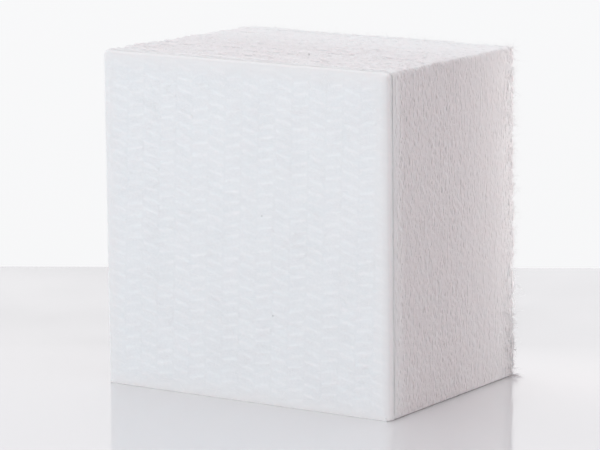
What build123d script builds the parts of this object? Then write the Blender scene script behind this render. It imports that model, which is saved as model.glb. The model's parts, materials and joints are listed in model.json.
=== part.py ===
from build123d import *
import os

# A block of nonwoven nail wipes: square sheets die-cut in one stack, pressed together and stood on their cut edge.
# The wipes lie one behind the other along Y. Wipe 1 is the front wipe, which is taken first.
# +X is to the right across the front wipe, +Y runs from the front wipe to the rear one, and +Z is up.
# The origin is on the surface that the block stands on, under the middle of the block.
# Sizes are in millimetres.

# The block
wipe_width = 49.1
wipe_height = 50.0
stack_depth = 37.1
wipe_count = 100

# How the wipes lie and how they were cut
air_gap = 0.02  # between two neighbouring wipes
cut_lean = 0.8  # the sides lean: the top of a wipe lies this far to the left of its foot
rear_draw_in = 2.0  # the left cut runs in by this much between the front wipe and the rear one
shoulder_radius = 1.0  # the die rounds the block's front edges at the top and both sides
corner_radius = 0.5  # of each wipe's four corners

# How the wipes are shared among the nodes
single_count = 10  # the front wipes, each in a node of its own
wipes_per_node = 2  # behind them, each a separate solid

wipe_pitch = stack_depth / wipe_count
wipe_thickness = wipe_pitch - air_gap


def shoulder_inset(number):
    """How far the rounded front shoulder draws in the cut edges of a wipe."""
    behind_front = (number - 0.5) * wipe_pitch
    if behind_front >= shoulder_radius:
        return 0.0
    across = shoulder_radius - behind_front
    return shoulder_radius - (shoulder_radius**2 - across**2) ** 0.5


def wipe_corners(number):
    """The corners of a wipe as (x, z), from the left foot round by the right foot."""
    inset = shoulder_inset(number)
    draw_in = rear_draw_in * (number - 1) / (wipe_count - 1)
    left = -wipe_width / 2 + inset + draw_in
    right = wipe_width / 2 - inset
    top = wipe_height - inset
    foot_shift = cut_lean / 2
    top_shift = foot_shift - cut_lean * top / wipe_height
    return [
        (left + foot_shift, 0.0),
        (right + foot_shift, 0.0),
        (right + top_shift, top),
        (left + top_shift, top),
    ]


def rear_face_y(number):
    """Where the rear face of a wipe lies."""
    return -stack_depth / 2 + number * wipe_pitch - air_gap / 2


def make_node(name, numbers):
    """One node: the wipes with these numbers, each a separate solid."""
    with BuildPart() as wipes:
        for number in numbers:
            with BuildSketch(Plane.XZ.offset(-rear_face_y(number))) as outline:
                with BuildLine():
                    Polyline(*wipe_corners(number), close=True)
                make_face()
                fillet(outline.vertices(), radius=corner_radius)
            extrude(amount=wipe_thickness)
    wipes.part.label = name
    export_step(wipes.part, f"parts/{name}.step")


os.makedirs("parts", exist_ok=True)

# The front wipes, one node each
for number in range(1, single_count + 1):
    make_node(f"wipe_{number:03d}", [number])

# The rest of the stack, in pairs
for first in range(single_count + 1, wipe_count + 1, wipes_per_node):
    last = first + wipes_per_node - 1
    make_node(f"wipes_{first:03d}_{last:03d}", range(first, last + 1))
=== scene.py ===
import json
import math

import bpy
import numpy as np
from mathutils import Matrix, Vector
from mathutils.geometry import delaunay_2d_cdt


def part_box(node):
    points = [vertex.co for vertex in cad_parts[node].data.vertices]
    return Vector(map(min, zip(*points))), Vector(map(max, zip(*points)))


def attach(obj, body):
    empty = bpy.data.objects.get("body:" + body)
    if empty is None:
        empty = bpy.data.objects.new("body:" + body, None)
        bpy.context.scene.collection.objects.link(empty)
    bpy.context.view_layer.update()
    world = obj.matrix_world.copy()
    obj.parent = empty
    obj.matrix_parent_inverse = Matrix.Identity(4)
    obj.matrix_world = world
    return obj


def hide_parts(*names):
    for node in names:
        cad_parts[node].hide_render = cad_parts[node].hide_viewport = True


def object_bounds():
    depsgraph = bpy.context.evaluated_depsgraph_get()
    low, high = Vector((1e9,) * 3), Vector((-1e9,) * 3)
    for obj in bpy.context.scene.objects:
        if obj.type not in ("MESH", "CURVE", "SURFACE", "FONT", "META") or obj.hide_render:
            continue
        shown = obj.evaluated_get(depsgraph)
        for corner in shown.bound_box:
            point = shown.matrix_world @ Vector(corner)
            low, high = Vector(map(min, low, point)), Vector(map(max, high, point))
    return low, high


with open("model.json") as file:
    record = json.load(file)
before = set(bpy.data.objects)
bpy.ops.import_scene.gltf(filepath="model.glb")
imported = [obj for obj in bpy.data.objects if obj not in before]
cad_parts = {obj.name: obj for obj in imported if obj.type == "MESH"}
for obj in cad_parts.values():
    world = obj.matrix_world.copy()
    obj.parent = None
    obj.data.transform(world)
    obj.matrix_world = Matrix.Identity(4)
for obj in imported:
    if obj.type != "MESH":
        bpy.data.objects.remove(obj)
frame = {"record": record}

# A block of nonwoven nail wipes standing on its cut edge.
# Lengths in this script are millimetres until make_mesh and the stage turn them into the frame's metres.
# X runs to the right across the front wipe, Y from the front wipe to the rear one, Z up.
MM = 0.001
cad_lo, cad_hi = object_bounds()

# ---------------------------------------------------------------- what the cut block looks like
AIR_GAP = 0.02  # between two wipes, as in the CAD model
CUT_LEAN = 0.8  # a wipe's top lies this far to the left of its foot
SHOULDER = 1.0  # radius of the block's front edges, at the top and both sides
CORNER_RADIUS = 0.5
EDGE_STEP = 0.25  # between two points along a cut edge
CORNER_POINTS = 6
RIM_INSETS = (0.45, 0.18, 0.06)  # rings of points on a wipe's face, this far inside its cut edge
RIM_FULLNESS = (1.0, 0.93, 0.68)  # and how much of the wipe's thickness it has there
# The front wipe bends back round the shoulder: how far round, in degrees, each of its rings lies
WRAP_ANGLES = {0.45: 28, 0.18: 52, 0.06: 74, 0.0: 99}
WRAP_THICKNESS = {0.45: 0.34, 0.18: 0.28, 0.06: 0.20, 0.0: 0.0}  # it is pressed thinner towards its edge
WRAPPED_WIPES = 3  # the wipes whose edges the shoulder reaches
TUCK_MARGIN = 0.03  # between the front wipe's bent edge and the wipes under it
FACE_MARGIN = 1.0  # the face's own points start this far inside the cut edge
PRESSED_WIPES = (4, 14)  # up to the first, the edges are pressed flat; from the second, not at all
RIM_FOLLOW = {0.45: 0.4, 0.18: 0.85, 0.06: 0.97, 0.0: 1.0}  # how far each ring moves with the cut's relief
FOOT_FADE = (-0.9, -0.3)  # the relief fades out where the outline's normal turns down to the plate
FRAYED_WIPES = 10  # the rear wipes, whose right cut is frayed
FRAY_DEPTH = 0.35

# How uneven things are, as waves: height, length along each axis, seed
WIPE_PITCH = 0.37
BETWEEN_WIPES = ((0.06, (8, 1.6, 9), 11), (0.03, (2.2, 0.8, 2.2), 12))
CUT_WANDER = ((0.05, (9, 6, 9), 31),)
WRAP_WANDER = ((0.05, (9, 6, 9), 31), (0.05, (1.1, 1, 0.9), 37), (0.03, (0.5, 1, 0.45), 38))
CLUMPS = ((0.10, (1.0, 0.62, 0.85), 33), (0.11, (0.5, 0.42, 0.45), 34))
TOP_LEDGES = ((0.30, (7, 0.8, 7), 36),)
FELT_GRAIN = ((0.012, (0.7, 1, 0.5), 51),)
PINCH_WAVES = ((0.10, (1.3, WIPE_PITCH, 1.3), 35),)
PINCH = 0.94  # how much of its fullness a rim keeps on average
OWN_RELIEF = 0.035  # how much more or less than its neighbours a wipe may vary
ROUGH_FROM, ROUGHEST = (0.1, 3.6), 1.2  # the cut grows rough over these depths behind the front
CALM_FROM, CALMER = (15, 30), 0.55  # and calmer again over these

PACK = 10  # the first ten wipes part one by one, and the others in packs of ten

# How fine the faces are, in millimetres between points
OUTER_FACE = 0.21  # the front and the rear wipe, whose faces show
OPENED_FACE = 0.9  # faces that show when the stack is parted
INNER_FACE = 2.6

# The web's herringbone: raised dashes in columns that slope down to the right, then up to the right
COLUMN, ROW = 2.843, 1.662  # between columns, and between the dashes of one column
COLUMN_LEAN, ROW_RISE = 0.019, 0.0045  # the pattern lies a little askew on the wipe
DASH_SLOPES = (-0.275, 0.164)
DASH_HALF_LENGTH, DASH_HALF_WIDTH = 1.25, 0.22
PATTERN_X, PATTERN_Z = 0.8, 25.07  # the middle of one dash on the front wipe
DASH_HEIGHT = 0.035


# ---------------------------------------------------------------- noise
def lattice_value(ix, iy, iz, seed):
    """A repeatable number from 0 to 1 for each point of a lattice."""
    h = ix * 374761393 + iy * 668265263 + iz * 2147483647 + seed * 974634777
    h = h & 0xFFFFFFFF
    h = ((h ^ (h >> 13)) * 1274126177) & 0xFFFFFFFF
    h = ((h ^ (h >> 15)) * 2246822519) & 0xFFFFFFFF
    return ((h ^ (h >> 16)) & 0xFFFFFF) / 0xFFFFFF


def noise(points, scale, seed):
    """Smooth noise, about -1 to 1, with features as long as scale along each axis."""
    p = points / np.asarray(scale, dtype=float)
    cell = np.floor(p).astype(np.int64)
    t = p - cell
    s = t * t * t * (t * (t * 6 - 15) + 10)
    total = 0.0
    for dx in (0, 1):
        wx = s[:, 0] if dx else 1 - s[:, 0]
        for dy in (0, 1):
            wy = s[:, 1] if dy else 1 - s[:, 1]
            for dz in (0, 1):
                wz = s[:, 2] if dz else 1 - s[:, 2]
                ix, iy, iz = cell[:, 0] + dx, cell[:, 1] + dy, cell[:, 2] + dz
                turn = 2 * math.pi * lattice_value(ix, iy, iz, seed)
                rise = 2 * lattice_value(ix, iy, iz, seed + 71) - 1
                flat = np.sqrt(1 - rise * rise)
                slope = (
                    flat * np.cos(turn) * (t[:, 0] - dx)
                    + flat * np.sin(turn) * (t[:, 1] - dy)
                    + rise * (t[:, 2] - dz)
                )
                total = total + wx * wy * wz * slope
    return 1.6 * total


def waves(points, table):
    """The sum of several noises."""
    return sum(height * noise(points, length, seed) for height, length, seed in table)


def smooth(low, high, value):
    t = np.clip((value - low) / (high - low), 0, 1)
    return t * t * (3 - 2 * t)


# ---------------------------------------------------------------- the wipes, from the frame
def corners_in_mm(node):
    lo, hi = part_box(node)
    return np.array(lo) / MM, np.array(hi) / MM


def read_wipes():
    """Every wipe, front to rear, with the node and body that it belongs to and where it lies."""
    first_lo, first_hi = corners_in_mm("wipe_001")
    thickness = first_hi[1] - first_lo[1]
    wipes = []
    for body, nodes in frame["record"]["behaviour"]["bodies"].items():
        for node in nodes:
            lo, hi = corners_in_mm(node)
            numbers = [int(x) for x in node.split("_")[1:]]
            for place, number in enumerate(numbers):
                front = lo[1] + place * (thickness + AIR_GAP)
                wipes.append({
                    "number": number, "node": node, "body": body,
                    "front": front, "rear": front + thickness,
                    "left": lo[0], "right": hi[0], "top": hi[2],
                })
    return sorted(wipes, key=lambda w: w["number"])


wipes = read_wipes()
wipe_count = len(wipes)
block_height = cad_hi.z / MM
block_front = wipes[0]["front"]
ref_width = (cad_hi.x - cad_lo.x) / MM - CUT_LEAN
ref_height = block_height
WEB_REACH_X, WEB_REACH_Y, WEB_REACH_Z = 37, 4.0, 41  # how far apart on the web the wipes may be cut


def web_shift(number):
    """Where a wipe was cut from the web: the front wipe's pattern lies as PATTERN_X and PATTERN_Z say."""
    if number == 1:
        return np.zeros(3)
    n = np.int64(number)
    across, up = lattice_value(n, 1, 0, 5), lattice_value(n, 2, 0, 5)
    return np.array([WEB_REACH_X * across, WEB_REACH_Y * number, WEB_REACH_Z * up])


# ---------------------------------------------------------------- one wipe's outline and faces
def outline_ring(inset):
    """Points (x, z) round a wipe, this far inside its cut edge, and outward normals, both anticlockwise."""
    radius = max(CORNER_RADIUS - inset, 0.12)
    half = ref_width / 2 - inset
    low, high = inset, ref_height - inset
    across = round((ref_width - 2 * CORNER_RADIUS) / EDGE_STEP)
    upward = round((ref_height - 2 * CORNER_RADIUS) / EDGE_STEP)
    turns = (
        (half - radius, low + radius, -90, upward),
        (half - radius, high - radius, 0, across),
        (-half + radius, high - radius, 90, upward),
        (-half + radius, low + radius, 180, across),
    )
    points, normals = [], []
    for i, (cx, cz, start, along) in enumerate(turns):
        for k in range(CORNER_POINTS):
            a = math.radians(start + 90 * k / (CORNER_POINTS - 1))
            points.append((cx + radius * math.cos(a), cz + radius * math.sin(a)))
            normals.append((math.cos(a), math.sin(a)))
        nx, nz, _, _ = turns[(i + 1) % 4]
        b = math.radians(start + 90)
        begin = np.array(points[-1])
        end = np.array((nx + radius * math.cos(b), nz + radius * math.sin(b)))
        for k in range(1, along):
            points.append(tuple(begin + (end - begin) * k / along))
            normals.append((math.cos(b), math.sin(b)))
    return np.array(points), np.array(normals)


def face_plan(step):
    """A wipe's face in the (x, z) plane: points, starting with its innermost rim ring, and triangles."""
    rim, _ = outline_ring(RIM_INSETS[0])
    half = ref_width / 2 - FACE_MARGIN
    across = np.arange(-half, half + 1e-6, 2 * half / max(2, round(2 * half / step)))
    height = ref_height - 2 * FACE_MARGIN
    rows = max(2, round(height / (step * 0.87)))
    inner = []
    for row in range(rows + 1):
        z = FACE_MARGIN + height * row / rows
        shift = (across[1] - across[0]) / 2 if row % 2 else 0.0
        inner += [(x + shift, z) for x in across if x + shift <= half + 1e-6]
    points = [Vector(p) for p in rim] + [Vector(p) for p in inner]
    count = len(rim)
    loop = [(i, (i + 1) % count) for i in range(count)]
    made = delaunay_2d_cdt(points, loop, [], 1, 1e-7)
    placed = np.array([tuple(p) for p in made[0]])
    assert len(placed) == len(points) and np.allclose(placed[:count], rim, atol=1e-5)
    return placed, np.array(made[2], dtype=np.int64)


rim_rings = [outline_ring(inset)[0] for inset in RIM_INSETS]
edge_ring, edge_normals = outline_ring(0.0)
ring_count = len(edge_ring)
plans = {step: face_plan(step) for step in (OUTER_FACE, OPENED_FACE, INNER_FACE)}


def on_wipe(flat, wipe):
    """Turns (x, z) on the plan into the place on this wipe, which leans and may be smaller."""
    lean = CUT_LEAN * wipe["top"] / block_height
    width = wipe["right"] - wipe["left"] - lean
    middle = wipe["right"] - width / 2
    z = flat[:, 1] * wipe["top"] / ref_height
    x = middle + flat[:, 0] * width / ref_width - CUT_LEAN * z / block_height
    return x, z


def interface(x, z, number):
    """How far the surface between a wipe and the next one strays along Y from its place in the stack."""
    at = np.stack([x, np.full_like(x, number * WIPE_PITCH), z], axis=1)
    return waves(at, BETWEEN_WIPES)


def dashes(x, z):
    """The herringbone: 1 on a dash, 0 between dashes."""
    x, z = x - PATTERN_X, z - PATTERN_Z
    u = (x - COLUMN_LEAN * z) / COLUMN + 0.5
    column = np.floor(u)
    dx = (u - column - 0.5) * COLUMN
    odd = column % 2
    slope = np.where(odd > 0, DASH_SLOPES[1], DASH_SLOPES[0])
    v = (z - ROW_RISE * x - slope * dx) / ROW + 0.5 * odd + 0.5
    dz = (v - np.floor(v) - 0.5) * ROW
    ends = smooth(-DASH_HALF_LENGTH - 0.12, -DASH_HALF_LENGTH + 0.12, -np.abs(dx))
    return ends * np.exp(-0.7 * (dz / DASH_HALF_WIDTH) ** 2)


def cut_relief(x, y, z, wipe):
    """How far the cut edge stands out or in: fibre clumps along each wipe, and the wander of the cut."""
    at = np.stack([x, y, z], axis=1)
    behind = wipe["front"] - block_front
    rough = smooth(*ROUGH_FROM, behind) * (ROUGHEST - CALMER * smooth(*CALM_FROM, behind))
    own = OWN_RELIEF * (2 * lattice_value(np.int64(wipe["number"]), 3, 5, 21) - 1)
    clumps = waves(at, CLUMPS) + own * noise(at, (4, WIPE_PITCH, 4), 32)
    ledges = waves(at, TOP_LEDGES) * np.clip(edge_normals[:, 1], 0, 1)
    return waves(at, CUT_WANDER) + rough * (clumps + ledges)


def fray(x, y, z, wipe):
    """How far the last wipes are torn back along their right cut."""
    depth = (wipe["number"] - (wipe_count - FRAYED_WIPES)) / FRAYED_WIPES
    if depth <= 0:
        return np.zeros_like(x)
    at = np.stack([x, np.full_like(x, wipe["number"] * 0.9), z], axis=1)
    torn = 0.4 + noise(at, (3, 1.5, 1.4), 41) + 0.7 * noise(at, (3, 0.7, 0.45), 42)
    return FRAY_DEPTH * depth * np.clip(torn, 0, 1.3)


def wipe_mesh_data(wipe, front_step, rear_step):
    """One wipe with soft, uneven cut edges: vertices, quads, triangles and distances from the cut."""
    number = wipe["number"]
    front_plan, front_tris = plans[front_step]
    rear_plan, rear_tris = plans[rear_step]
    layers = [(front_plan, -1, RIM_INSETS[0], RIM_FULLNESS[0])]  # plan, side, inset of its ring, fullness
    for k in (1, 2):
        layers.append((rim_rings[k], -1, RIM_INSETS[k], RIM_FULLNESS[k]))
    layers.append((edge_ring, 0, 0.0, 0.0))
    for k in (2, 1):
        layers.append((rim_rings[k], 1, RIM_INSETS[k], RIM_FULLNESS[k]))
    layers.append((rear_plan, 1, RIM_INSETS[0], RIM_FULLNESS[0]))

    # the block's rounded front edge: how far inside the plane of the cut this wipe's own edge lies
    behind = wipe["rear"] - block_front
    arc = SHOULDER - math.sqrt(max(0.0, SHOULDER**2 - (SHOULDER - min(behind, SHOULDER)) ** 2))
    cad_inset = block_height - wipe["top"]
    upright = smooth(*FOOT_FADE, edge_normals[:, 1])

    # the cut's relief, worked out once for each point round the edge
    ex, ez = on_wipe(edge_ring, wipe)
    mid = np.full_like(ex, (wipe["front"] + wipe["rear"]) / 2)
    relief = cut_relief(ex, mid, ez, wipe)
    relief -= fray(ex, mid, ez, wipe) * np.clip(edge_normals[:, 0], 0, 1)
    relief += cad_inset - arc
    relief *= upright
    pinch = PINCH + waves(np.stack([ex, mid, ez], axis=1), PINCH_WAVES)
    pressed = np.maximum(1 - smooth(*PRESSED_WIPES, number), 1 - upright)
    # keeps the corners sharp
    mitre = 1 / np.maximum(np.abs(edge_normals[:, 0]), np.abs(edge_normals[:, 1]))
    wander = waves(np.stack([ex, np.zeros_like(ex), ez], axis=1), WRAP_WANDER)

    vertices, cut_distance = [], []
    for plan, side, inset, full in layers:
        x, z = on_wipe(plan, wipe)
        front = wipe["front"] + interface(x, z, number - 1) * (number > 1)
        rear = wipe["rear"] + interface(x, z, number) * (number < wipe_count)
        if len(plan) != ring_count:
            web = web_shift(number)
            bump = DASH_HEIGHT * dashes(x + web[0], z + web[2])
            bump += waves(np.stack([x, 0 * x, z], axis=1), FELT_GRAIN)
            if side < 0 and front_step == OUTER_FACE:
                front = front - bump
            if side > 0 and rear_step == OUTER_FACE:
                rear = rear + bump
        middle, half = (front + rear) / 2, (rear - front) / 2
        fullness = np.full_like(x, full)
        inside_ends = np.minimum(plan[:, 1], ref_height - plan[:, 1])
        inside = np.minimum(ref_width / 2 - np.abs(plan[:, 0]), inside_ends)
        inside[:ring_count] = inset
        if 0 < full < 1:
            fullness = full * pinch * (1 - pressed) + (full + (1 - full) * 0.9) * pressed
            fullness = np.maximum(fullness, 1 - upright)
        # a point on the rim moves with the relief of the cut, and where the edge is pressed, further out
        spread = inset if inset < RIM_INSETS[0] else 0.0
        out = relief * RIM_FOLLOW[inset] + spread * (0.7 * pressed * upright + 0.97 * (1 - upright))
        y = middle + side * half * fullness
        if number == 1:
            # the front wipe bends back round the shoulder and covers the next ones' edges
            angle = math.radians(WRAP_ANGLES[inset])
            radius = SHOULDER - (WRAP_THICKNESS[inset] if side >= 0 else 0.0)
            wrapped = cad_inset + inset - SHOULDER + radius * math.sin(angle) + wander
            out = out + (wrapped * mitre - out) * upright
            back = block_front + SHOULDER - radius * math.cos(angle)
            y[:ring_count] += (back - y[:ring_count]) * upright
        elif number <= WRAPPED_WIPES:
            # and they stay inside it
            from_plane = np.minimum(cad_inset + inset - out, SHOULDER)
            depth = np.minimum(y[:ring_count] - block_front, SHOULDER)
            across, along = SHOULDER - from_plane, SHOULDER - depth
            reach = np.hypot(across, along) + 1e-9
            cover = WRAP_THICKNESS[RIM_INSETS[0]] * along / reach
            limit = SHOULDER - AIR_GAP * number - cover - TUCK_MARGIN
            tucked = np.clip(1 - limit / reach, 0, 1) * upright
            out = out - across * tucked
            y[:ring_count] += along * tucked
        x[:ring_count] += edge_normals[:, 0] * out
        z[:ring_count] += edge_normals[:, 1] * out
        vertices.append(np.stack([x, y, np.maximum(z, 0.0)], axis=1))
        cut_distance.append(inside)

    starts = np.cumsum([0] + [len(v) for v in vertices])
    ring = np.arange(ring_count)
    after = (ring + 1) % ring_count
    quads = []
    for a, b in zip(starts[:-2], starts[1:-1]):
        quads.append(np.stack([a + ring, b + ring, b + after, a + after], axis=1))
    tris = [front_tris + starts[0], rear_tris[:, ::-1] + starts[-2]]
    wipe["edge"] = vertices[3]
    return [np.concatenate(parts) for parts in (vertices, quads, tris, cut_distance)]


def make_mesh(name, vertices, quads, tris, materials, material_numbers=None):
    """A mesh object at the origin, from arrays in millimetres."""
    mesh = bpy.data.meshes.new(name)
    corners = np.concatenate([quads.ravel(), tris.ravel()]).astype(np.int32)
    sizes = np.concatenate([np.full(len(quads), 4), np.full(len(tris), 3)])
    begins = np.concatenate([[0], np.cumsum(sizes)[:-1]]).astype(np.int32)
    mesh.vertices.add(len(vertices))
    mesh.vertices.foreach_set("co", (vertices * MM).astype(np.float32).ravel())
    mesh.loops.add(len(corners))
    mesh.loops.foreach_set("vertex_index", corners)
    mesh.polygons.add(len(sizes))
    mesh.polygons.foreach_set("loop_start", begins)
    mesh.polygons.foreach_set("loop_total", sizes.astype(np.int32))
    mesh.polygons.foreach_set("use_smooth", np.ones(len(sizes), dtype=bool))
    if material_numbers is not None:
        mesh.polygons.foreach_set("material_index", material_numbers.astype(np.int32))
    mesh.update(calc_edges=True)
    mesh.validate()
    for material in materials:
        mesh.materials.append(material)
    piece = bpy.data.objects.new(name, mesh)
    bpy.context.collection.objects.link(piece)
    return piece


# ---------------------------------------------------------------- materials
class Nodes:
    """A short way to build a material's node tree."""

    def __init__(self, name):
        self.material = bpy.data.materials.new(name)
        self.material.use_nodes = True
        self.tree = self.material.node_tree
        self.tree.nodes.clear()

    def add(self, kind, inputs=(), **settings):
        node = self.tree.nodes.new(kind)
        for key, value in settings.items():
            setattr(node, key, value)
        for key, value in dict(inputs).items():
            if isinstance(value, bpy.types.NodeSocket):
                self.tree.links.new(value, node.inputs[key])
            else:
                node.inputs[key].default_value = value
        return node

    def maths(self, operation, a, b=0.0, c=0.0):
        return self.add("ShaderNodeMath", {0: a, 1: b, 2: c}, operation=operation).outputs[0]

    def ramp(self, value, stops):
        """Maps a value to greys or colours. stops are (position, grey or colour)."""
        node = self.add("ShaderNodeValToRGB", {"Fac": value})
        elements = node.color_ramp.elements
        while len(elements) < len(stops):
            elements.new(0.5)
        for element, (at, shade) in zip(elements, stops):
            element.position = at
            element.color = (*shade, 1) if isinstance(shade, tuple) else (shade, shade, shade, 1)
        return node.outputs["Color"]

    def blend(self, factor, a, b, kind="MIX"):
        """Mixes two colours, or sockets that carry them."""
        node = self.add("ShaderNodeMix", {0: factor}, data_type="RGBA", blend_type=kind)
        colours = [s for s in node.inputs if s.type == "RGBA"]
        for socket, value in zip(colours, (a, b)):
            if isinstance(value, bpy.types.NodeSocket):
                self.tree.links.new(value, socket)
            else:
                socket.default_value = (*value, 1)
        return [s for s in node.outputs if s.type == "RGBA"][0]


FACE_THIN, FACE_THICK = (0.750, 0.768, 0.792), (0.848, 0.864, 0.884)
FACE_SHADE_BY_CUT = (0.780, 0.774, 0.784)  # the outer few millimetres of a face: painted shade where the face rounds into its cut edge
CUT_EDGE = (0.885, 0.852, 0.864)
CUT_EDGE_PAINTED_LIGHT = (0.970, 0.950, 0.962)  # painted light on the cut edge: of the first wipes, pressed dense, for light scattered round the shoulder, and of the fluffy last ones, for backlight shining through them


def nonwoven():
    """Spunlaced nonwoven: a herringbone of denser dashes over felt. Its cut edges are warmer."""
    n = Nodes("nonwoven")
    web = n.add("ShaderNodeAttribute", attribute_name="web").outputs["Vector"]
    split = n.add("ShaderNodeSeparateXYZ", {0: web}).outputs

    # the herringbone, as dashes() has it
    wobble = n.add("ShaderNodeTexNoise", {"Vector": web, "Scale": 1.3, "Detail": 2.0}).outputs["Fac"]
    x = n.maths("SUBTRACT", split["X"], PATTERN_X)
    z = n.maths("SUBTRACT", split["Z"], PATTERN_Z)
    z = n.maths("ADD", z, n.maths("MULTIPLY_ADD", wobble, 0.34, -0.17))
    u = n.maths("MULTIPLY_ADD", n.maths("MULTIPLY_ADD", z, -COLUMN_LEAN, x), 1 / COLUMN, 0.5)
    column = n.maths("FLOOR", u)
    dx = n.maths("MULTIPLY", n.maths("SUBTRACT", n.maths("SUBTRACT", u, column), 0.5), COLUMN)
    odd = n.maths("FLOORED_MODULO", column, 2.0)
    slope = n.maths("MULTIPLY_ADD", odd, DASH_SLOPES[1] - DASH_SLOPES[0], DASH_SLOPES[0])
    level = n.maths("SUBTRACT", n.maths("MULTIPLY_ADD", x, -ROW_RISE, z), n.maths("MULTIPLY", slope, dx))
    v = n.maths("ADD", n.maths("MULTIPLY", level, 1 / ROW), n.maths("MULTIPLY_ADD", odd, 0.5, 0.5))
    dz = n.maths("MULTIPLY", n.maths("SUBTRACT", n.maths("FRACT", v), 0.5), ROW)
    across = n.maths("SUBTRACT", 1.0, n.maths("DIVIDE", n.maths("ABSOLUTE", dz), 0.42))
    across = n.add("ShaderNodeClamp", {"Value": across}).outputs[0]
    along = n.maths("DIVIDE", n.maths("SUBTRACT", DASH_HALF_LENGTH + 0.12, n.maths("ABSOLUTE", dx)), 0.24)
    along = n.add("ShaderNodeClamp", {"Value": along}).outputs[0]
    strength = n.add("ShaderNodeTexNoise", {"Vector": web, "Scale": 0.33, "Detail": 2.0}).outputs["Fac"]
    strength = n.ramp(strength, ((0.25, 0.25), (0.65, 1.0)))
    dash = n.maths("MULTIPLY", n.maths("MULTIPLY", across, along), strength)

    # single fibres: thin streaks that lie several ways
    streaks = []
    for turn, shift in ((0.15, 0.0), (-0.55, 7.0), (1.3, 13.0), (0.8, 29.0)):
        turned = n.add("ShaderNodeMapping", {
            "Vector": web, "Rotation": (0, turn, 0), "Location": (shift, 0, 0), "Scale": (0.8, 3.0, 8.0),
        }).outputs[0]
        streaks.append(n.add("ShaderNodeTexNoise", {
            "Vector": turned, "Scale": 1.0, "Detail": 2.0, "Roughness": 0.6,
        }).outputs["Fac"])
    pair_a = n.maths("MAXIMUM", streaks[0], streaks[1])
    pair_b = n.maths("MAXIMUM", streaks[2], streaks[3])
    felt = n.maths("MULTIPLY_ADD", n.maths("MAXIMUM", pair_a, pair_b), 3.0, -1.5)
    grain = n.add("ShaderNodeTexNoise", {
        "Vector": web, "Scale": 2.6, "Detail": 4.0, "Roughness": 0.65,
    }).outputs["Fac"]
    cloudy = n.add("ShaderNodeTexNoise", {"Vector": web, "Scale": 0.3, "Detail": 2.0}).outputs["Fac"]
    thick = n.maths("MULTIPLY", dash, 0.42)
    thick = n.maths("ADD", thick, n.maths("MULTIPLY", felt, 0.12))
    thick = n.maths("ADD", thick, n.maths("MULTIPLY_ADD", grain, 1.0, -0.35))
    thick = n.maths("ADD", thick, n.maths("MULTIPLY_ADD", cloudy, 0.4, -0.1))
    thick = n.add("ShaderNodeClamp", {"Value": thick}).outputs[0]
    face = n.blend(thick, FACE_THIN, FACE_THICK)
    inside = n.add("ShaderNodeAttribute", attribute_name="inside").outputs["Fac"]
    # painted shade: each face is darkened over its outer few millimetres, towards its cut edge
    near_cut_shade = n.ramp(n.maths("MULTIPLY", inside, 0.25), ((0.02, 1.0), (0.2, 0.5), (0.65, 0.0)))
    edge_tone = n.blend(grain, (0.93, 0.93, 0.93), (1.0, 1.0, 1.0))
    place = n.add("ShaderNodeAttribute", attribute_name="place").outputs["Fac"]
    # painted light: by their place in the stack, the cut edges of the first wipes, and more of the last
    # ones, are made lighter
    painted_light = n.ramp(place, ((0.0, 0.35), (0.04, 0.45), (0.13, 0.0), (0.5, 0.0), (0.96, 1.0)))
    edge = n.blend(1.0, edge_tone, n.blend(painted_light, CUT_EDGE, CUT_EDGE_PAINTED_LIGHT), "MULTIPLY")
    at_cut = n.ramp(inside, ((0.06, 1.0), (0.32, 0.0)))
    colour = n.blend(at_cut, n.blend(near_cut_shade, face, FACE_SHADE_BY_CUT), edge)

    height = n.maths("ADD", n.maths("MULTIPLY", dash, 0.6), n.maths("MULTIPLY", felt, 0.5))
    bump = n.add("ShaderNodeBump", {"Height": height, "Strength": 0.5, "Distance": 0.00006}).outputs[0]
    shader = n.add("ShaderNodeBsdfPrincipled", {
        "Base Color": colour, "Roughness": 0.92, "Normal": bump,
        "Specular IOR Level": 0.2, "Sheen Weight": 0.2, "Sheen Roughness": 0.6,
        "Subsurface Weight": 0.7, "Subsurface Radius": (1.0, 0.9, 0.9), "Subsurface Scale": 0.0003,
    })
    n.add("ShaderNodeOutputMaterial", {"Surface": shader.outputs[0]})
    return n.material


def fibre():
    """A single loose fibre of the same web, which lets some light through."""
    n = Nodes("loose_fibre")
    place = n.add("ShaderNodeTexCoord").outputs["Object"]
    mm = n.add("ShaderNodeVectorMath", {0: place, 3: 1 / MM}, operation="SCALE").outputs[0]
    varied = n.add("ShaderNodeTexNoise", {"Vector": mm, "Scale": 1.5, "Detail": 2.0}).outputs["Fac"]
    tone = n.ramp(varied, ((0.3, (0.93, 0.92, 0.93)), (0.7, (0.985, 0.98, 0.985))))
    shader = n.add("ShaderNodeBsdfPrincipled", {
        "Base Color": tone, "Roughness": 0.55, "Specular IOR Level": 0.3,
        "Sheen Weight": 0.2, "Sheen Roughness": 0.5,
    })
    through = n.add("ShaderNodeBsdfTranslucent", {"Color": tone})
    mixed = n.add("ShaderNodeMixShader", {0: 0.6, 1: shader.outputs[0], 2: through.outputs[0]})
    n.add("ShaderNodeOutputMaterial", {"Surface": mixed.outputs[0]})
    return n.material


def lint():
    """A dark speck of dust caught in the felt."""
    n = Nodes("lint")
    place = n.add("ShaderNodeTexCoord").outputs["Object"]
    varied = n.add("ShaderNodeTexNoise", {"Vector": place, "Scale": 9000.0, "Detail": 1.0}).outputs["Fac"]
    tone = n.ramp(varied, ((0.3, (0.06, 0.055, 0.05)), (0.7, (0.16, 0.15, 0.145))))
    shader = n.add("ShaderNodeBsdfPrincipled", {"Base Color": tone, "Roughness": 0.8})
    n.add("ShaderNodeOutputMaterial", {"Surface": shader.outputs[0]})
    return n.material


web_material = nonwoven()
loose_fibre = fibre()
lint_material = lint()


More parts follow.
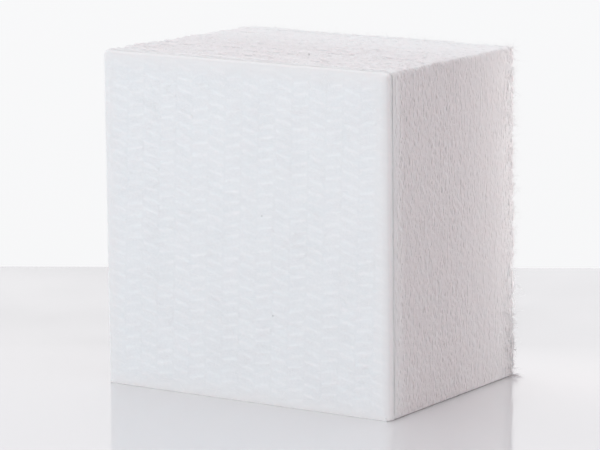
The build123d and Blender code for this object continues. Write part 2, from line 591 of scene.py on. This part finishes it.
# ---------------------------------------------------------------- the camera, at the product shot's angle
AZIMUTH, ELEVATION, ROLL = 31.77, 9.93, 0.17  # degrees
DISTANCE = 10.4617 * block_height
AIM_SHIFT = 0.6  # the lean and the draw-in put the front wipe's middle this far right of the block's
AIM_RIGHT, AIM_UP = -0.0421 * block_height, -0.0302 * block_height
LENS, SENSOR = 210.2, 36.0


def look(azimuth, elevation, roll):
    """The camera's right, up and forward directions."""
    a, e, r = math.radians(-azimuth), math.radians(elevation), math.radians(roll)
    forward = Vector((math.sin(a) * math.cos(e), math.cos(a) * math.cos(e), -math.sin(e)))
    level = Vector((math.cos(a), -math.sin(a), 0))
    upright = level.cross(forward)
    right = level * math.cos(r) + upright * math.sin(r)
    return right, right.cross(forward), forward


def make_camera():
    right, up, forward = look(AZIMUTH, ELEVATION, ROLL)
    middle = Vector((AIM_SHIFT, 0, block_height / 2))
    spot = middle + right * AIM_RIGHT + up * AIM_UP - forward * DISTANCE
    camera = bpy.data.objects.new("camera", bpy.data.cameras.new("camera"))
    camera.data.lens, camera.data.sensor_width = LENS, SENSOR
    camera.data.clip_start, camera.data.clip_end = 0.01, 20
    turn = Matrix((right, up, -forward)).transposed().to_4x4()
    camera.matrix_world = Matrix.Translation(spot * MM) @ turn
    bpy.context.collection.objects.link(camera)
    bpy.context.scene.camera = camera


make_camera()


# ---------------------------------------------------------------- building the wipes
def face_steps(wipe):
    """How fine a wipe's front and rear faces are."""
    number = wipe["number"]
    front = rear = INNER_FACE
    if number == 1:
        front, rear = OUTER_FACE, OPENED_FACE
    elif number == wipe_count:
        front, rear = INNER_FACE, OUTER_FACE
    elif number <= PACK:
        front = rear = OPENED_FACE
    elif number % PACK == 1:
        front = OPENED_FACE
    elif number % PACK == 0:
        rear = OPENED_FACE
    return front, rear


def sheet_name(number):
    return f"sheet_{number:03d}"


def build_wipe(wipe):
    vertices, quads, tris, inside = wipe_mesh_data(wipe, *face_steps(wipe))
    number = wipe["number"]
    piece = make_mesh(sheet_name(number), vertices, quads, tris, [web_material])
    web = piece.data.attributes.new("web", "FLOAT_VECTOR", "POINT")
    web.data.foreach_set("vector", (vertices + web_shift(number)).astype(np.float32).ravel())
    cut = piece.data.attributes.new("inside", "FLOAT", "POINT")
    cut.data.foreach_set("value", inside.astype(np.float32))
    place = piece.data.attributes.new("place", "FLOAT", "POINT")
    place.data.foreach_set("value", np.full(len(vertices), number / wipe_count, dtype=np.float32))
    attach(piece, wipe["body"])
    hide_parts(wipe["node"])
    return piece


# ---------------------------------------------------------------- loose fibres
FIBRE_RINGS = 5
FIBRE_SIDES = 3
LONGEST_FIBRE = 2.2


def fibre_tubes(roots, directions, lengths, radii, bends, rng):
    """Curved, tapering tubes, one for each root, as vertices, quads and triangles."""
    count = len(roots)
    t = np.linspace(0, 1, FIBRE_RINGS)[None, :, None]
    directions = directions / np.linalg.norm(directions, axis=1, keepdims=True)
    aside = np.cross(directions, rng.normal(size=(count, 3)))
    aside /= np.linalg.norm(aside, axis=1, keepdims=True)
    size = lengths[:, None, None]
    line = roots[:, None, :] + directions[:, None, :] * size * (t - 0.35 * bends[:, None, None] * t**2)
    line = line + aside[:, None, :] * size * bends[:, None, None] * t**2 * 0.9
    line[:, :, 2] = np.maximum(line[:, :, 2], 0.02)
    along = np.gradient(line, axis=1)
    along /= np.linalg.norm(along, axis=2, keepdims=True)
    u = np.cross(along, aside[:, None, :] + 0.3)
    u /= np.linalg.norm(u, axis=2, keepdims=True)
    v = np.cross(along, u)
    radius = radii[:, None, None] * (1 - 0.45 * t)
    rings = []
    for k in range(FIBRE_SIDES):
        a = 2 * math.pi * k / FIBRE_SIDES
        rings.append(line + radius * (math.cos(a) * u + math.sin(a) * v))
    vertices = np.stack(rings, axis=2).reshape(-1, 3)
    first = np.arange(count)[:, None, None] * FIBRE_RINGS * FIBRE_SIDES
    ring = np.arange(FIBRE_RINGS - 1)[None, :, None] * FIBRE_SIDES
    side = np.arange(FIBRE_SIDES)[None, None, :]
    after = (side + 1) % FIBRE_SIDES
    low, high = first + ring, first + ring + FIBRE_SIDES
    quads = np.stack([low + side, low + after, high + after, high + side], axis=-1).reshape(-1, 4)
    start = np.arange(count)[:, None] * FIBRE_RINGS * FIBRE_SIDES
    end = start + (FIBRE_RINGS - 1) * FIBRE_SIDES
    tris = np.concatenate([start + np.array([[2, 1, 0]]), end + np.array([[0, 1, 2]])])
    return vertices, quads, tris


class Fuzz:
    """Collects the fibres of one body."""

    def __init__(self, seed):
        self.rng = np.random.default_rng(seed)
        self.parts = []
        self.total = 0

    def add(self, roots, directions, lengths, radii, bends, material=0):
        if len(roots) == 0:
            return
        vertices, quads, tris = fibre_tubes(roots, directions, lengths, radii, bends, self.rng)
        self.parts.append((vertices, quads + self.total, tris + self.total, material))
        self.total += len(vertices)

    def build(self, name, body):
        vertices = np.concatenate([p[0] for p in self.parts])
        quads = np.concatenate([p[1] for p in self.parts])
        tris = np.concatenate([p[2] for p in self.parts])
        numbers = [np.full(len(p[1]), p[3]) for p in self.parts]
        numbers += [np.full(len(p[2]), p[3]) for p in self.parts]
        materials = [loose_fibre, lint_material]
        piece = make_mesh(name, vertices, quads, tris, materials, np.concatenate(numbers))
        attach(piece, body)
        return piece


def edge_fibres(fuzz, wipe, where, count, length, radius, outward, spread, bunch):
    """Fibres that stand out of a wipe's cut edge, at the points of its outline that where picks."""
    rng = fuzz.rng
    picks = np.flatnonzero(where)
    number = rng.poisson(count / bunch)
    if number == 0 or len(picks) == 0:
        return
    at = np.repeat(rng.choice(picks, number), bunch)
    total = len(at)
    nx, nz = edge_normals[at, 0], edge_normals[at, 1]
    edge = wipe["edge"]
    share = np.repeat(rng.random(number), bunch)[:, None]
    roots = edge[at] * (1 - share) + edge[(at + 1) % ring_count] * share
    out = np.stack([nx, np.zeros(total), nz], axis=1)
    side = np.stack([-nz, np.zeros(total), nx], axis=1)
    half = (wipe["rear"] - wipe["front"]) / 2
    roots = roots + rng.normal(size=(total, 3)) * (0.03, half * 0.4, 0.03) - out * 0.08
    lengths = np.minimum(length * (0.35 + rng.exponential(0.65, total)), LONGEST_FIBRE)
    directions = out * np.abs(rng.normal(outward, 0.35, total))[:, None]
    directions += side * np.repeat(rng.normal(0, spread, number), bunch)[:, None]
    directions += side * rng.normal(0, 0.2, total)[:, None]
    directions[:, 1] += rng.normal(0, spread * 0.8, total)
    radii = radius * rng.uniform(0.7, 1.3, total)
    fuzz.add(roots, directions, lengths, radii, rng.uniform(0.1, 0.9, total))


RIGHT = edge_normals[:, 0] > 0.5
LEFT = edge_normals[:, 0] < -0.5
TOP = edge_normals[:, 1] > 0.5
FOOT = edge_normals[:, 1] < -0.5
FEWER = 1.0
HAIRY_FROM = (0.8, 4.0)  # the cut grows hairy over these depths behind the front

# Where on the cut edge, how many, length, radius, how far outward, how spread, how many in a bunch
CUT_FIBRES = (
    (RIGHT, 55, 0.30, 0.011, 0.35, 0.7, 1),
    (RIGHT, 42, 0.40, 0.016, 0.25, 0.7, 3),
    (LEFT, 45, 0.30, 0.012, 0.35, 0.7, 1),
    (TOP, 60, 0.28, 0.012, 0.30, 0.7, 1),
    (FOOT, 6, 0.20, 0.012, 0.15, 0.7, 1),
)
REAR_FIBRES = (
    (RIGHT, 560, 0.70, 0.013, 0.9, 0.9, 1),
    (RIGHT, 80, 0.50, 0.022, 0.7, 0.9, 4),
    (TOP, 120, 0.40, 0.013, 0.7, 0.7, 1),
    (LEFT, 70, 0.45, 0.012, 0.7, 0.7, 1),
)


def wipe_fibres(fuzz, wipe):
    """All the loose fibres of one wipe's cut edges."""
    hairy = 0.15 + 0.85 * smooth(*HAIRY_FROM, wipe["front"] - block_front)
    for where, count, *kind in CUT_FIBRES:
        edge_fibres(fuzz, wipe, where, count * hairy * FEWER, *kind)
    frayed = FRAYED_WIPES + 2
    last = wipe["number"] - (wipe_count - frayed)
    if last > 0:
        for where, count, *kind in REAR_FIBRES:
            edge_fibres(fuzz, wipe, where, count * (last / frayed) * FEWER, *kind)


def face_fibres(fuzz, wipe, side, count):
    """Fibres that lie on a wipe's outer face, nearly flat."""
    rng = fuzz.rng
    total = int(count * FEWER)
    x = rng.uniform(-ref_width / 2 + 1, ref_width / 2 - 2, total)
    z = rng.uniform(1, ref_height - 2, total)
    px, pz = on_wipe(np.stack([x, z], axis=1), wipe)
    face = wipe["front"] if side < 0 else wipe["rear"]
    roots = np.stack([px, np.full(total, face + side * 0.02), pz], axis=1)
    turn = rng.normal(0, 0.8, total)
    directions = np.stack([np.cos(turn), side * np.abs(rng.normal(0, 0.05, total)), np.sin(turn)], axis=1)
    directions[:, 0] *= rng.choice([-1, 1], total)
    lengths = rng.uniform(0.6, 2.4, total)
    fuzz.add(roots, directions, lengths, np.full(total, 0.010), rng.uniform(0, 0.25, total))


def specks(fuzz, places, length, radius):
    """Specks of dark lint: short, thick, dark fibres."""
    total = len(places)
    rng = fuzz.rng
    directions = rng.normal(size=(total, 3)) * (1, 0.2, 1)
    lengths, radii, bends = (np.full(total, value) for value in (length, radius, 0.3))
    fuzz.add(np.array(places), directions, lengths, radii, bends, 1)


def foot_tuft(fuzz, wipe, count):
    """A tuft of loose fibres on the plate at the rear right corner."""
    rng = fuzz.rng
    corner = (wipe["right"], wipe["rear"] - 0.8, 0.1)
    roots = np.array(corner) + rng.normal(size=(count, 3)) * (0.15, 0.5, 0.04)
    directions = rng.normal(size=(count, 3)) * (0.4, 0.7, 0.08) + (0.8, 0, 0)
    lengths, bends = rng.uniform(0.5, 1.3, count), rng.uniform(0, 0.6, count)
    fuzz.add(roots, directions, lengths, np.full(count, 0.02), bends)


FRONT_SPECKS = ((3.2, 27.8), (5.1, 13.3))  # (x, z)
TOP_SPECK = (4.3, -7.6)  # (x, y)
DARK_FIBRE_HEIGHT = 4.0  # of a dark fibre that hangs out of the frayed edge


def build_block():
    fuzz_of = {}
    for order, body in enumerate(frame["record"]["behaviour"]["bodies"]):
        fuzz_of[body] = Fuzz(100 + order)
    for wipe in wipes:
        build_wipe(wipe)
        wipe_fibres(fuzz_of[wipe["body"]], wipe)
    first, last = wipes[0], wipes[-1]
    face_fibres(fuzz_of[first["body"]], first, -1, 1500)
    face_fibres(fuzz_of[last["body"]], last, 1, 1500)
    specks(fuzz_of[first["body"]], [(x, first["front"] - 0.03, z) for x, z in FRONT_SPECKS], 0.14, 0.07)
    speck_wipe = min(wipes, key=lambda w: abs(w["front"] - TOP_SPECK[1]))
    specks(fuzz_of[speck_wipe["body"]], [(*TOP_SPECK, block_height + 0.05)], 0.3, 0.06)
    foot_tuft(fuzz_of[last["body"]], last, 40)
    dark_fibre = (last["right"] + 0.45, last["rear"] - 0.4, DARK_FIBRE_HEIGHT)
    specks(fuzz_of[last["body"]], [dark_fibre], 0.5, 0.045)
    fuzz_pieces = {body: fuzz.build(f"fuzz_{body}", body) for body, fuzz in fuzz_of.items()}
    for wipe in wipes:
        fuzz_piece = fuzz_pieces.pop(wipe["body"], None)


build_block()


# ---------------------------------------------------------------- the stage
PLATE_COLOUR = (0.80, 0.79, 0.805)


def make_plate():
    """A white gloss plate under the block, whose far edge shows behind it, square to the camera."""
    right, _, forward = look(AZIMUTH, 0, 0)
    far, near, side, thick = 91.0, -420.0, 380.0, 6.0
    corners = []
    for z in (-thick, 0.0):
        for along, across in ((near, -side), (near, side), (far, side), (far, -side)):
            spot = forward * along + right * across
            corners.append((spot.x, spot.y, z - 0.002))
    quads = np.array([(3, 2, 1, 0), (4, 5, 6, 7), (0, 1, 5, 4), (1, 2, 6, 5), (2, 3, 7, 6), (3, 0, 4, 7)])
    n = Nodes("white_gloss_acrylic")
    place = n.add("ShaderNodeTexCoord").outputs["Object"]
    faint = n.add("ShaderNodeTexNoise", {"Vector": place, "Scale": 30.0, "Detail": 3.0}).outputs["Fac"]
    rough = n.ramp(faint, ((0.3, 0.04), (0.7, 0.07)))
    shader = n.add("ShaderNodeBsdfPrincipled", {
        "Base Color": (*PLATE_COLOUR, 1), "Roughness": rough, "IOR": 1.49,
    })
    n.add("ShaderNodeOutputMaterial", {"Surface": shader.outputs[0]})
    plate = make_mesh("stage_plate", np.array(corners), quads, np.zeros((0, 3), int), [n.material])
    bevel = plate.modifiers.new("bevel", "BEVEL")
    bevel.width, bevel.segments = 0.6 * MM, 3


# The studio's even light: its colour in the middle, and how it changes towards +X, +Y and +Z
WORLD = (0.667, 0.664, 0.675)
WORLD_X = (-0.106, -0.089, -0.076)
WORLD_Y = (0.313, 0.313, 0.318)
WORLD_Z = (0.247, 0.262, 0.280)
# The white background that the camera sees, and how it changes towards +Z
BACKDROP = (0.958, 0.960, 0.968)
BACKDROP_Z = (0.15, 0.15, 0.15)


def make_world():
    """A white studio: even light all round that changes gently with direction, and a plain backdrop."""
    world = bpy.data.worlds.new("studio")
    bpy.context.scene.world = world
    world.use_nodes = True
    tree = world.node_tree
    tree.nodes.clear()
    coord = tree.nodes.new("ShaderNodeTexCoord")
    split = tree.nodes.new("ShaderNodeSeparateXYZ")
    tree.links.new(coord.outputs["Generated"], split.inputs[0])

    def background(middle, slopes):
        total = None
        for axis, slope in slopes:
            step = tree.nodes.new("ShaderNodeVectorMath")
            step.operation = "MULTIPLY_ADD"
            tree.links.new(split.outputs[axis], step.inputs[0])
            step.inputs[1].default_value = slope
            step.inputs[2].default_value = middle
            if total:
                tree.links.new(total, step.inputs[2])
            total = step.outputs[0]
        node = tree.nodes.new("ShaderNodeBackground")
        tree.links.new(total, node.inputs["Color"])
        return node.outputs[0]

    studio = background(WORLD, (("X", WORLD_X), ("Y", WORLD_Y), ("Z", WORLD_Z)))
    backdrop = background(BACKDROP, (("Z", BACKDROP_Z),))
    seen = tree.nodes.new("ShaderNodeLightPath").outputs["Is Camera Ray"]
    mixed = tree.nodes.new("ShaderNodeMixShader")
    tree.links.new(seen, mixed.inputs[0])
    tree.links.new(studio, mixed.inputs[1])
    tree.links.new(backdrop, mixed.inputs[2])
    out = tree.nodes.new("ShaderNodeOutputWorld")
    tree.links.new(mixed.outputs[0], out.inputs[0])


# Soft lights: name, place, what it points at, size, and watts of red, green and blue
LIGHTS = (
    ("front", (-150, -600, 60), (0, 0, 25), (420, 420), (2.36, 2.55, 2.60)),
    ("front_right", (400, -500, 160), (0, 0, 25), (300, 300), (0.26, 0.10, 0.04)),
    ("rim", (37, 30, 34), (24, 16, 32), (16, 48), (0.0021, 0.0018, 0.0016)),
    ("rim_near", (28.0, 18.9, 31), (24, 18.9, 31), (2, 44), (0.00036, 0.00037, 0.00037)),
)


def make_light(name, place, target, size, watts):
    light = bpy.data.objects.new(name, bpy.data.lights.new(name, "AREA"))
    light.data.shape = "RECTANGLE"
    light.data.size, light.data.size_y = size[0] * MM, size[1] * MM
    light.data.energy = max(watts)
    light.data.color = [w / max(watts) for w in watts]
    light.location = Vector(place) * MM
    light.rotation_mode = "QUATERNION"
    light.rotation_quaternion = (Vector(target) - Vector(place)).to_track_quat("-Z", "Y")
    light.visible_camera = False
    light.visible_glossy = False
    bpy.context.collection.objects.link(light)


make_plate()
make_world()
for light in LIGHTS:
    make_light(*light)
bpy.context.scene.view_settings.view_transform = "Standard"
